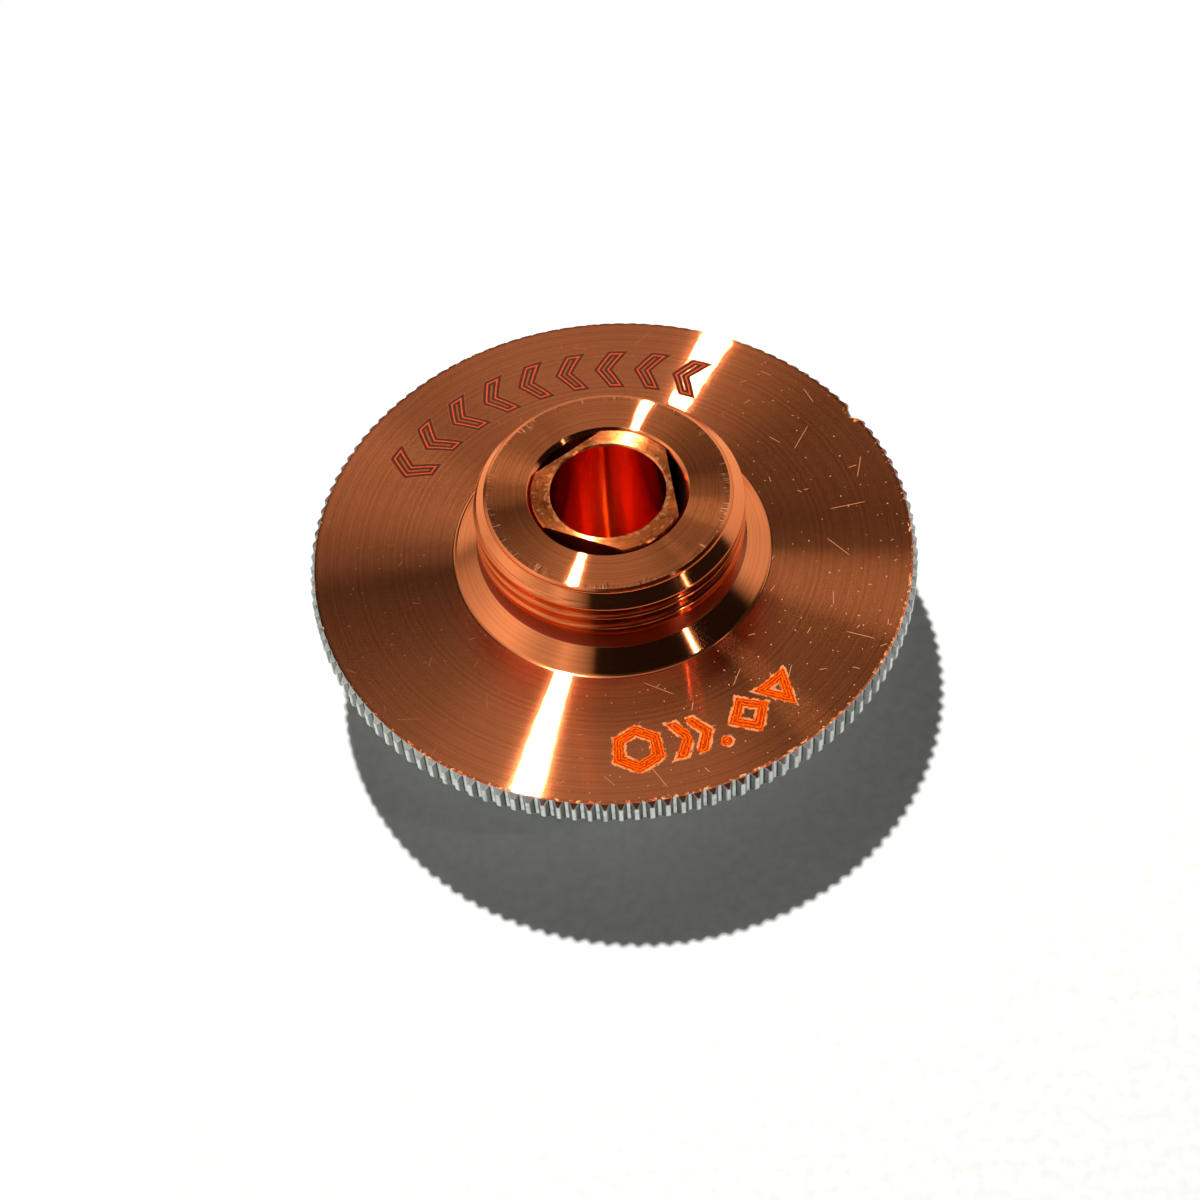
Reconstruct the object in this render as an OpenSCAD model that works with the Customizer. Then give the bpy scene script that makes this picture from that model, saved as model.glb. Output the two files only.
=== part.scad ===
// Double-layer laser cutting nozzle in turned copper.
// Origin at the centre of the nose tip, +Z up to the end of the thread. Millimetres.

/* [Flange] */
// Diameter over the crests of the knurl
flange_d = 32; // [30:0.5:40]
// Thickness of the flange
flange_t = 1.5; // [1:0.1:3]
// Height of the flange's underside above the nose tip
flange_z = 7.3; // [6:0.1:12]
// Chamfer on both edges of the rim
rim_chamfer = 0.25; // [0.05:0.05:0.4]

/* [Knurl] */
// Number of teeth round the rim
knurl_teeth = 130; // [60:2:150]
// Depth of the grooves
knurl_depth = 0.27; // [0.15:0.01:0.4]
// Width of a tooth's flat crest
crest_w = 0.2; // [0.1:0.02:0.3]
// Width of the flat at the bottom of a groove
root_w = 0.16; // [0.08:0.02:0.24]

/* [Seat cone] */
// Diameter of the seat cone at the flange
seat_d = 16.6; // [16:0.2:22]
// Diameter of the seat cone at its top edge
seat_top_d = 14.2; // [14:0.1:15.6]
// Height of the seat cone
seat_h = 0.85; // [0.4:0.05:2]
// Radius of the blend between the seat cone and the flange face
seat_fillet = 0.4; // [0.1:0.05:0.6]

/* [Thread] */
// Major diameter of the thread
thread_d = 14; // [13:0.5:14]
// Diameter of the relief groove under the thread
relief_d = 12.4; // [11.4:0.1:12.8]
// Width of the relief groove
relief_w = 0.8; // [0.4:0.05:1.5]
// Length of the thread between the relief groove and the end chamfer
thread_len = 2.3; // [2:0.1:8]
// Height of the chamfer at the thread's end
end_chamfer_h = 0.75; // [0.2:0.05:1]
// Diameter of the flat end face
end_face_d = 12.5; // [10.5:0.1:12.8]

/* [Body bore] */
// Diameter of the hole that takes the core
hole_d = 7.96; // [7.8:0.02:8.6]
// Chamfer at the mouth of the hole
hole_chamfer = 0.2; // [0.1:0.05:0.5]
// Height of the ledge that the core stands on
ledge_z = 4.6; // [4.4:0.1:5.6]
// Diameter of the gas chamber under the ledge
chamber_d = 7.4; // [7:0.1:7.6]
// Diameter of the orifice in the nose tip
orifice_d = 2.5; // [2:0.1:3]
// Length of the orifice's straight part
orifice_len = 1.2; // [0.6:0.1:1.4]
// Angle between the wall of the gas cone and the axis
gas_cone_angle = 45; // [44:1:52]

/* [Nose] */
// Diameter of the nose where it leaves the flange
nose_d = 20; // [19:0.5:26]
// Diameter of the flat nose tip
tip_d = 6; // [5:0.1:8]
// Radius of the blend between the nose and the flange
nose_fillet = 1.2; // [0.3:0.1:1.5]
// Chamfer round the nose tip
tip_chamfer = 0.2; // [0.1:0.05:0.4]

/* [Core] */
// Diameter of the core's bore
core_bore_d = 5.98; // [5:0.02:6.1]
// Distance of each flat from the axis
flat_dist = 3.3; // [3.2:0.02:3.6]
// Number of flats round the core
flat_count = 3; // [3:1:4]
// Direction of the first flat, counter-clockwise from +X
flat_angle = 4; // [0:1:90]
// Chamfer on the core's outer top edge
core_chamfer = 0.06; // [0.04:0.02:0.4]
// Chamfer on the edge of the core's bore
bore_chamfer = 0.08; // [0.04:0.02:0.2]
// Radial clearance of the pressed fit between core and hole
fit_clearance = 0; // [0:0.005:0.03]
// Radial gap between the core's end and the gas chamber
chamber_gap = 0.45; // [0.4:0.05:0.6]
// Height of the core's lower end above the orifice's straight part
end_gap = 1; // [0.9:0.05:1.4]
// Radial gap for the outer gas between the core's cone and the gas cone
gas_gap = 0.75; // [0.5:0.05:0.8]
// Wall left round the throat at the core's lower end
end_wall = 0.6; // [0.3:0.05:0.7]
// Length of the throat's straight part
throat_len = 0.8; // [0.4:0.1:1]

/* [Hidden] */
$fn = 96;
knurl_overrun = 0.02;
copper = [0.72, 0.42, 0.28];
core_copper = [0.78, 0.47, 0.31];
cut = 1;

face_z = flange_z + flange_t;
relief_z = face_z + seat_h;
thread_z = relief_z + relief_w;
chamfer_z = thread_z + thread_len;
top_z = chamfer_z + end_chamfer_h;
flange_r = flange_d / 2;
tooth_angle = 360 / knurl_teeth;
root_r = flange_r - knurl_depth;
core_r = hole_d / 2 - fit_clearance;
core_neck_r = chamber_d / 2 - chamber_gap;
gas_cone_h = (chamber_d - orifice_d) / 2 / tan(gas_cone_angle);
core_end_z = orifice_len + end_gap;
core_end_r = orifice_d / 2 + end_gap * tan(gas_cone_angle) - gas_gap;
core_cone_h = (core_neck_r - core_end_r) / tan(gas_cone_angle);
throat_r = core_end_r - end_wall;
throat_z = core_end_z + throat_len;
bore_cone_h = (core_bore_d / 2 - throat_r) / tan(gas_cone_angle);
nose_lean = atan((nose_d - tip_d) / 2 / flange_z);
seat_lean = atan((seat_d - seat_top_d) / 2 / seat_h);
// Distance from each corner between a cone and the flange to the tangent points of its blend
fillet_reach = nose_fillet / tan((90 + nose_lean) / 2);
seat_reach = seat_fillet / tan((90 + seat_lean) / 2);

// One tooth's corners seen from above. The flanks run on a little past the crest, which the
// turned outline of the flange then trims.
function tooth(i) =
    let (middle = i * tooth_angle - 90,
         half_crest = asin(crest_w / 2 / flange_r),
         half_base = tooth_angle / 2 - asin(root_w / 2 / root_r),
         half_tip = half_crest - (half_base - half_crest) * knurl_overrun / knurl_depth,
         tip_r = flange_r + knurl_overrun)
    [for (corner = [[root_r, -half_base], [tip_r, -half_tip], [tip_r, half_tip], [root_r, half_base]])
        let (angle = middle + corner[1])
        [corner[0] * cos(angle), corner[0] * sin(angle)]];

// The knurled disc, with its teeth run out in a chamfer at both faces
module knurled_flange() {
    intersection() {
        translate([0, 0, flange_z])
            linear_extrude(height = flange_t)
                polygon([for (i = [0 : knurl_teeth - 1]) each tooth(i)]);
        rotate_extrude()
            polygon([
                [0, flange_z],
                [flange_r - rim_chamfer, flange_z],
                [flange_r, flange_z + rim_chamfer],
                [flange_r, face_z - rim_chamfer],
                [flange_r - rim_chamfer, face_z],
                [0, face_z]
            ]);
    }
}

// Outline of the nose below the flange, with a round blend into the flange's underside
module nose_profile() {
    blend_r = nose_d / 2 + fillet_reach;
    polygon([
        [0, 0],
        [tip_d / 2 - tip_chamfer, 0],
        [tip_d / 2 + tip_chamfer * tan(nose_lean), tip_chamfer],
        [nose_d / 2, flange_z],
        [nose_d / 2, flange_z + flange_t / 2],
        [0, flange_z + flange_t / 2]
    ]);
    difference() {
        polygon([
            [nose_d / 2 - fillet_reach * sin(nose_lean), flange_z - fillet_reach * cos(nose_lean)],
            [blend_r, flange_z],
            [blend_r, flange_z + flange_t / 2],
            [nose_d / 2 - fillet_reach, flange_z + flange_t / 2]
        ]);
        translate([blend_r, flange_z - nose_fillet]) circle(r = nose_fillet);
    }
}

// Outline of the seat cone, the relief groove and the threaded stub above the flange
module stub_profile() {
    polygon([
        [0, flange_z + flange_t / 2],
        [seat_d / 2, flange_z + flange_t / 2],
        [seat_d / 2, face_z],
        [seat_top_d / 2, relief_z],
        [relief_d / 2, relief_z],
        [relief_d / 2, thread_z],
        [thread_d / 2, thread_z],
        [thread_d / 2, chamfer_z],
        [end_face_d / 2, top_z],
        [0, top_z]
    ]);
    difference() {
        polygon([
            [seat_d / 2 - seat_reach * sin(seat_lean), face_z + seat_reach * cos(seat_lean)],
            [seat_d / 2 - seat_reach, flange_z + flange_t / 2],
            [seat_d / 2 + seat_reach, flange_z + flange_t / 2],
            [seat_d / 2 + seat_reach, face_z]
        ]);
        translate([seat_d / 2 + seat_reach, face_z + seat_fillet]) circle(r = seat_fillet);
    }
}

// Everything that is hollow in the body, from the orifice up to the mouth of the core's hole
module body_hollow() {
    rotate_extrude()
        polygon([
            [0, -cut],
            [orifice_d / 2, -cut],
            [orifice_d / 2, orifice_len],
            [chamber_d / 2, orifice_len + gas_cone_h],
            [chamber_d / 2, ledge_z],
            [hole_d / 2, ledge_z],
            [hole_d / 2, top_z - hole_chamfer],
            [hole_d / 2 + hole_chamfer + cut, top_z + cut],
            [0, top_z + cut]
        ]);
}

module outer_body() {
    color(copper)
        difference() {
            union() {
                knurled_flange();
                rotate_extrude() nose_profile();
                rotate_extrude() stub_profile();
            }
            body_hollow();
        }
}

// The core's turned form: lands in the hole, neck and cone in the gas chamber
module core_blank() {
    rotate_extrude()
        polygon([
            [throat_r, core_end_z],
            [core_end_r, core_end_z],
            [core_neck_r, core_end_z + core_cone_h],
            [core_neck_r, ledge_z],
            [core_r, ledge_z],
            [core_r, top_z - core_chamfer],
            [core_r - core_chamfer, top_z],
            [core_bore_d / 2 + bore_chamfer, top_z],
            [core_bore_d / 2, top_z - bore_chamfer],
            [core_bore_d / 2, throat_z + bore_cone_h],
            [throat_r, throat_z]
        ]);
}

// What each flat takes off the core, from the ledge to the top
module flat_cut() {
    translate([flat_dist, -core_r, ledge_z - cut])
        cube([core_r, 2 * core_r, top_z - ledge_z + 2 * cut]);
}

module inner_core() {
    color(core_copper)
        difference() {
            core_blank();
            for (i = [0 : flat_count - 1])
                rotate([0, 0, flat_angle + i * 360 / flat_count]) flat_cut();
        }
}

outer_body();
inner_core();
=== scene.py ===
"""Visual model of a double-layer laser cutting nozzle, turned in copper.

The classes hold their sizes in millimetres, and Blender's objects are in metres. The frame is
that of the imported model: the origin is the centre of the nose tip and +Z points out of the
threaded end.
"""

import logging
import math
from dataclasses import dataclass, field
from enum import Enum
from typing import Any, Optional, Union

import bpy
import numpy as np
from mathutils import Matrix, Vector


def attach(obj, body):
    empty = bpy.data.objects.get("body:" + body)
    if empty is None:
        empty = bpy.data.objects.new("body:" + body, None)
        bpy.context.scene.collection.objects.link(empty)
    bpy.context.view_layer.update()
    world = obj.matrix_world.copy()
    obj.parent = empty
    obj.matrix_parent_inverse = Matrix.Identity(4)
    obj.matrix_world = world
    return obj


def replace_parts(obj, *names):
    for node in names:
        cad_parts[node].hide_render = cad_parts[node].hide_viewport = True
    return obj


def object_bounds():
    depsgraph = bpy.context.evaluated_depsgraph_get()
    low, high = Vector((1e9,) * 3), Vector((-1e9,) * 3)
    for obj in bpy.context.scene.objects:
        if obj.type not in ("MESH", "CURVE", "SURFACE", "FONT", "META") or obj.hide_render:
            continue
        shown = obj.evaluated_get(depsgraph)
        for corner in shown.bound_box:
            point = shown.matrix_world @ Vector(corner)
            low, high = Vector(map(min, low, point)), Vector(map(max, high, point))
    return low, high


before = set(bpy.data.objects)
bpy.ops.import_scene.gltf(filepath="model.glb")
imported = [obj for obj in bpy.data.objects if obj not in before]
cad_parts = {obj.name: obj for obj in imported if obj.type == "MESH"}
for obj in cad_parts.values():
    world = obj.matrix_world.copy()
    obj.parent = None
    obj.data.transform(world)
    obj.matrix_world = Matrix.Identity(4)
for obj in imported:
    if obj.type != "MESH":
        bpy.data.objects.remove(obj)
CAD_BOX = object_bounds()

LOG = logging.getLogger("nozzle")
BODY = "root"
MM = 0.001

Colour = tuple[float, float, float]
Point = tuple[float, float]


def linear(red: int, green: int, blue: int) -> Colour:
    """Turns a colour as it is seen on a screen into the linear colour that a shader takes.

    Args:
        red: Red from 0 to 255.
        green: Green from 0 to 255.
        blue: Blue from 0 to 255.

    Returns:
        The three linear values from 0 to 1.
    """
    def one(level: int) -> float:
        """Turns one screen level into a linear value."""
        share = level / 255
        return share / 12.92 if share <= 0.04045 else ((share + 0.055) / 1.055) ** 2.4

    return one(red), one(green), one(blue)


class Value:
    """A number that flows through a node tree, with Python's arithmetic on it."""

    def __init__(self, sheet: "NodeSheet", socket: bpy.types.NodeSocket) -> None:
        """Wraps an output socket of a node sheet."""
        self.sheet = sheet
        self.socket = socket

    def __add__(self, other: "Number") -> "Value":
        """Adds a number."""
        return self.sheet.math("ADD", self, other)

    __radd__ = __add__

    def __sub__(self, other: "Number") -> "Value":
        """Takes a number away."""
        return self.sheet.math("SUBTRACT", self, other)

    def __rsub__(self, other: "Number") -> "Value":
        """Takes this value away from a number."""
        return self.sheet.math("SUBTRACT", other, self)

    def __mul__(self, other: "Number") -> "Value":
        """Multiplies by a number."""
        return self.sheet.math("MULTIPLY", self, other)

    __rmul__ = __mul__

    def __truediv__(self, other: "Number") -> "Value":
        """Divides by a number."""
        return self.sheet.math("DIVIDE", self, other)

    def __rtruediv__(self, other: "Number") -> "Value":
        """Divides a number by this value."""
        return self.sheet.math("DIVIDE", other, self)

    def __abs__(self) -> "Value":
        """Drops the sign."""
        return self.sheet.math("ABSOLUTE", self)

    def __lt__(self, other: "Number") -> "Value":
        """Gives 1 where this value is less, and 0 elsewhere."""
        return self.sheet.math("LESS_THAN", self, other)

    def __gt__(self, other: "Number") -> "Value":
        """Gives 1 where this value is greater, and 0 elsewhere."""
        return self.sheet.math("GREATER_THAN", self, other)

    def fade(self, start: float, end: float) -> "Value":
        """Goes smoothly from 0 at start to 1 at end.

        Args:
            start: Where the result is 0. It may be greater than end.
            end: Where the result is 1.

        Returns:
            The smooth step between the two.
        """
        low, high = min(start, end), max(start, end)
        step = self.sheet.node(
            "ShaderNodeMapRange",
            {"interpolation_type": "SMOOTHSTEP"},
            {"Value": self, "From Min": low, "From Max": high},
        )
        rising = Value(self.sheet, step.outputs["Result"])
        return rising if start < end else 1 - rising


Number = Union[Value, float, int]


class NodeSheet:
    """A node tree that is filled in from Python expressions."""

    def __init__(self, tree: bpy.types.NodeTree) -> None:
        """Takes over a node tree and empties it."""
        self.tree = tree
        tree.nodes.clear()

    def node(
        self,
        kind: str,
        settings: Optional[dict[str, Any]] = None,
        inputs: Optional[dict[Union[str, int], Any]] = None,
    ) -> bpy.types.Node:
        """Adds a node, with its settings first and then the values or links of its sockets.

        Args:
            kind: The node's type name.
            settings: Properties of the node, such as a Math node's operation.
            inputs: A number, tuple, socket or Value for each socket, by name or by place.

        Returns:
            The new node.
        """
        made = self.tree.nodes.new(kind)
        for key, value in (settings or {}).items():
            if key == "stops":
                self._set_stops(made.color_ramp.elements, value)
            else:
                setattr(made, key, value)
        for key, value in (inputs or {}).items():
            socket = made.inputs[key]
            if isinstance(value, Value):
                self.tree.links.new(value.socket, socket)
            elif isinstance(value, bpy.types.NodeSocket):
                self.tree.links.new(value, socket)
            elif isinstance(value, tuple) and socket.type == "RGBA" and len(value) == 3:
                socket.default_value = (*value, 1.0)
            else:
                socket.default_value = value
        return made

    def _set_stops(self, elements: Any, stops: tuple[Point, ...]) -> None:
        """Gives a ramp its stops.

        Args:
            elements: The stops that the ramp has.
            stops: The stops that it gets, each a place from 0 to 1 with a grey level.
        """
        while len(elements) > 1:
            elements.remove(elements[-1])
        for i, (place, level) in enumerate(stops):
            stop = elements.new(place) if i else elements[0]
            stop.position = place
            stop.color = (level, level, level, 1.0)

    def math(self, operation: str, *operands: Number) -> Value:
        """Adds a Math node for an operation on numbers."""
        made = self.node(
            "ShaderNodeMath", {"operation": operation}, dict(enumerate(operands))
        )
        return Value(self, made.outputs[0])

    def vector(self, operation: str, *operands: Any, scale: Number = 1.0) -> bpy.types.NodeSocket:
        """Adds a Vector Math node.

        Args:
            operation: The node's operation.
            operands: Vectors, as sockets or tuples.
            scale: The factor of the SCALE operation.

        Returns:
            The vector that comes out.
        """
        made = self.node(
            "ShaderNodeVectorMath", {"operation": operation}, dict(enumerate(operands))
        )
        if operation == "SCALE":
            if isinstance(scale, Value):
                self.tree.links.new(scale.socket, made.inputs["Scale"])
            else:
                made.inputs["Scale"].default_value = scale
        return made.outputs["Vector"]

    def dot(self, first: Any, second: Any) -> Value:
        """Gives the dot product of two vectors."""
        made = self.node(
            "ShaderNodeVectorMath", {"operation": "DOT_PRODUCT"}, {0: first, 1: second}
        )
        return Value(self, made.outputs["Value"])

    def combine(self, x: Number, y: Number, z: Number) -> bpy.types.NodeSocket:
        """Gives the vector of three numbers."""
        return self.node("ShaderNodeCombineXYZ", None, {0: x, 1: y, 2: z}).outputs[0]

    def separate(self, vector: bpy.types.NodeSocket) -> list[Value]:
        """Gives the three numbers of a vector."""
        made = self.node("ShaderNodeSeparateXYZ", None, {0: vector})
        return [Value(self, socket) for socket in made.outputs]

    def blend(self, factor: Number, first: Any, second: Any) -> bpy.types.NodeSocket:
        """Mixes two colours, from the first at factor 0 to the second at factor 1."""
        made = self.node(
            "ShaderNodeMix", {"data_type": "RGBA"}, {0: factor, 6: first, 7: second}
        )
        return made.outputs[2]

    def noise(self, vector: Any, scale: float, detail: float = 2.0) -> Value:
        """Gives smooth noise from 0 to 1 at a place, at a scale in waves per unit."""
        made = self.node(
            "ShaderNodeTexNoise", None, {"Vector": vector, "Scale": scale, "Detail": detail}
        )
        return Value(self, made.outputs["Fac"])

    def line_noise(self, place: Number, scale: float, detail: float = 2.0) -> Value:
        """Gives noise from 0 to 1 along one number."""
        made = self.node(
            "ShaderNodeTexNoise",
            {"noise_dimensions": "1D"},
            {"W": place, "Scale": scale, "Detail": detail},
        )
        return Value(self, made.outputs["Fac"])

    def surface(self, shader: bpy.types.Node) -> None:
        """Sends a shader to the material's output."""
        self.node("ShaderNodeOutputMaterial", None, {"Surface": shader.outputs[0]})


def new_material(name: str) -> tuple[bpy.types.Material, NodeSheet]:
    """Adds a material whose nodes are still to come.

    Args:
        name: The material's name.

    Returns:
        The material and the sheet of its nodes.
    """
    made = bpy.data.materials.new(name)
    made.use_nodes = True
    return made, NodeSheet(made.node_tree)


def add_object(name: str, data: Any) -> bpy.types.Object:
    """Adds an object to the scene.

    Args:
        name: The object's name.
        data: Its mesh, lamp or camera.

    Returns:
        The object.
    """
    made = bpy.data.objects.new(name, data)
    bpy.context.scene.collection.objects.link(made)
    return made


class Lay(Enum):
    """Which way the tool fed when it left its marks."""

    ACROSS = "across the axis, as on a face or a cone"
    ALONG = "along the axis, as on a cylinder or in a bore"


class TurnedPlace:
    """Where a point of a turned surface lies, in millimetres and radians."""

    def __init__(self, sheet: NodeSheet) -> None:
        """Adds the nodes that read the place.

        Args:
            sheet: The material's nodes.
        """
        self.sheet = sheet
        coordinates = sheet.node("ShaderNodeTexCoord")
        self.point = sheet.vector("SCALE", coordinates.outputs["Object"], scale=1 / MM)
        self.x, self.y, self.z = sheet.separate(self.point)
        self.radius = sheet.math("SQRT", self.x * self.x + self.y * self.y)
        self.angle = sheet.math("ARCTAN2", self.y, self.x)
        self.normal = sheet.node("ShaderNodeNewGeometry").outputs["Normal"]

    def feed(self, lay: Lay) -> Value:
        """Gives the distance that the tool had fed when it passed the point."""
        return self.radius if lay is Lay.ACROSS else self.z

    def tilted(self, slope: Number, wander: Number) -> bpy.types.NodeSocket:
        """Tilts the surface across the tool marks and a little along them.

        Args:
            slope: The tangent of the tilt across the marks, up to about 0.4 either way.
            wander: The tangent of the tilt along the marks.

        Returns:
            The tilted normal.
        """
        sheet = self.sheet
        along = sheet.combine(self.y * -1 / self.radius, self.x / self.radius, 0.0)
        across = sheet.vector("CROSS_PRODUCT", along, self.normal)
        lifted = sheet.vector("ADD", self.normal, sheet.vector("SCALE", across, scale=slope))
        turned = sheet.vector("ADD", lifted, sheet.vector("SCALE", along, scale=wander))
        return sheet.vector("NORMALIZE", turned)


@dataclass
class Look:
    """What a finish varies over its surface while its layers are added."""

    sheet: NodeSheet
    colour: Any
    slope: Number
    roughness: Number
    metallic: Number = 1.0

    def paint(self, mask: Number, colour: Any) -> None:
        """Covers what the mask shows with a colour."""
        self.colour = self.sheet.blend(mask, self.colour, colour)


@dataclass(frozen=True)
class TurnedCopper:
    """Bare copper with the spiral groove of a lathe tool."""

    name: str
    lay: Lay = Lay.ACROSS
    colour: Colour = linear(237, 136, 82)
    deep: Colour = linear(207, 106, 58)
    pitch: float = 0.05
    tilt: float = 0.19
    steep: float = 0.5
    waviness: float = 0.03
    wander: float = 0.002
    rings: float = 0.16
    fine: float = 1.0
    roughness: float = 0.055
    anisotropic: float = 1.0
    edge_tint: Colour = (0.96, 0.74, 0.6)

    # Waves to a millimetre, and how far apart two noises along one line are read
    WAVES, WANDERS, BROAD_RINGS, FINE_RINGS, CLOUDS = 4.5, 12.0, 3.4, 6.5, 0.3
    SHIFT = 40.0
    # The part that clouds have in the deeper colour, and the least share of it
    CLOUD_SHARE, LEAST_SHARE = 0.6, 0.08
    # The shader's rotation that draws a highlight out across the tool marks
    QUARTER_TURN = 0.25

    def layers(self, sheet: NodeSheet, place: TurnedPlace, look: Look) -> None:
        """Adds what the finish has on top of its tool marks. Plain turned copper has nothing."""

    def material(self) -> bpy.types.Material:
        """Builds the material.

        Returns:
            The material.
        """
        made, sheet = new_material(self.name)
        place = TurnedPlace(sheet)
        feed = place.feed(self.lay)
        wander = sheet.line_noise(feed + self.SHIFT, self.WANDERS) - 0.5
        tone, slope = self._tone(sheet, place, feed), self._slope(sheet, place, feed)
        look = Look(sheet, tone, slope, self.roughness)
        self.layers(sheet, place, look)
        shader = sheet.node(
            "ShaderNodeBsdfPrincipled",
            None,
            {
                "Base Color": look.colour,
                "Metallic": look.metallic,
                "Roughness": look.roughness,
                "Specular Tint": self.edge_tint,
                "Anisotropic": self.anisotropic,
                "Anisotropic Rotation": self.QUARTER_TURN,
                "Normal": place.tilted(look.slope, wander * (2 * self.wander)),
            },
        )
        sheet.surface(shader)
        return made

    def _slope(self, sheet: NodeSheet, place: TurnedPlace, feed: Value) -> Value:
        """Gives the slope of the spiral groove's wall, steepest at its edges, with slow waves.

        Args:
            sheet: The material's nodes.
            place: Where the point lies.
            feed: The distance that the tool had fed.

        Returns:
            The tangent of the tilt across the marks.
        """
        side = sheet.math("FRACT", feed / self.pitch + place.angle / math.tau) * 2 - 1
        steep = side * side * (side * side) * self.steep + 1
        wave = sheet.line_noise(feed, self.WAVES, 4.0) - 0.5
        return side * steep * self.tilt + wave * (2 * self.waviness)

    def _tone(
        self, sheet: NodeSheet, place: TurnedPlace, feed: Value
    ) -> bpy.types.NodeSocket:
        """Gives the copper's colour, which goes a little deeper in rings and clouds.

        Args:
            sheet: The material's nodes.
            place: Where the point lies.
            feed: The distance that the tool had fed.

        Returns:
            The colour.
        """
        fine = sheet.line_noise(feed + 2 * self.SHIFT, self.FINE_RINGS, 1.0) - 0.5
        rings = sheet.line_noise(feed, self.BROAD_RINGS, 4.0).fade(0.3, 0.75)
        cloud = sheet.noise(place.point, self.CLOUDS, 3.0).fade(0.35, 0.75)
        share = (rings + cloud * self.CLOUD_SHARE) * self.rings + fine * self.fine
        return sheet.blend(share + self.LEAST_SHARE, self.colour, self.deep)


@dataclass(frozen=True)
class DimWall(TurnedCopper):
    """Copper turned or bored along the axis, where little light comes, with its colours darkened as
    painted shade.
    """

    lay: Lay = Lay.ALONG
    colour: Colour = linear(150, 70, 40)
    deep: Colour = linear(110, 48, 28)
    tilt: float = 0.05
    roughness: float = 0.25


@dataclass(frozen=True)
class Glyph:
    """A laser mark in a field of its own on the flange, with its distance worked out in nodes."""

    angle: float
    radius: float
    height: float

    def local(self, place: TurnedPlace) -> tuple[Value, Value]:
        """Gives the distances along the rim and outwards from the mark's middle."""
        along = (place.angle - math.radians(self.angle)) * self.radius
        return along, place.radius - self.radius


@dataclass(frozen=True)
class PolygonRing(Glyph):
    """A polygon drawn with a broad stroke, or filled where the stroke is as wide as its half."""

    sides: int = 6
    stroke: float = 0.75
    spin: float = 0.0

    def distance(self, sheet: NodeSheet, place: TurnedPlace) -> Value:
        """Works out how far the stroke is.

        Args:
            sheet: The material's nodes.
            place: Where the point lies.

        Returns:
            The distance to the stroke's edge, negative inside the stroke.
        """
        u, v = self.local(place)
        reach = sheet.math("SQRT", u * u + v * v)
        turn = sheet.math("ARCTAN2", v, u) + math.radians(self.spin)
        wedge = math.tau / self.sides
        folded = sheet.math("FLOORED_MODULO", turn, wedge) - wedge / 2
        apothem = self.height / 2 - self.stroke / 2
        return abs(reach * sheet.math("COSINE", folded) - apothem) - self.stroke / 2


@dataclass(frozen=True)
class Chevrons(Glyph):
    """A row of arrowheads along the rim."""

    count: int = 1
    spacing: float = 2.87
    stroke: float = 0.62
    lean: float = 0.62

    def distance(self, sheet: NodeSheet, place: TurnedPlace) -> Value:
        """Works out how far the nearest arrowhead is.

        Args:
            sheet: The material's nodes.
            place: Where the point lies.

        Returns:
            The distance to its stroke's edge, negative inside the stroke.
        """
        u, v = self.local(place)
        row = (self.count - 1) / 2
        step = sheet.math("ROUND", u / self.spacing + row) - row
        step = sheet.math("MAXIMUM", sheet.math("MINIMUM", step, row), -row)
        local = u - step * self.spacing
        bent = local + abs(v) * self.lean - self.lean * self.height / 4
        across = abs(bent) / math.hypot(1, self.lean) - self.stroke / 2
        return sheet.math("MAXIMUM", across, abs(v) - self.height / 2)


@dataclass(frozen=True)
class Scratches:
    """Short straight scratches, at most one in each cell of an irregular pattern.

    The share is that of the cells with a scratch, and the offset moves the whole pattern.
    """

    cell: float
    length: float
    width: float
    share: float
    offset: float

    def mask(self, sheet: NodeSheet, place: TurnedPlace) -> Value:
        """Works out where the scratches are.

        Args:
            sheet: The material's nodes.
            place: Where the point lies.

        Returns:
            1 on a scratch and 0 elsewhere.
        """
        moved = sheet.vector("ADD", place.point, (self.offset, -self.offset, 0.0))
        grid = sheet.vector("SCALE", moved, scale=1 / self.cell)
        cells = sheet.node(
            "ShaderNodeTexVoronoi", {"voronoi_dimensions": "2D"}, {"Vector": grid, "Scale": 1.0}
        )
        gap = sheet.vector("SUBTRACT", grid, cells.outputs["Position"])
        x, y, _ = sheet.separate(gap)
        turn, chance, stretch = sheet.separate(cells.outputs["Color"])
        turn = turn * math.pi
        cosine, sine = sheet.math("COSINE", turn), sheet.math("SINE", turn)
        along = abs(x * cosine + y * sine) * self.cell
        aside = abs(y * cosine - x * sine) * self.cell
        reach = stretch * self.length * 0.5 + self.length * 0.1
        taper = (1 - along / reach).fade(0.0, 0.4)
        return aside.fade(self.width, self.width * 0.4) * taper * (chance < self.share)


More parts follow.
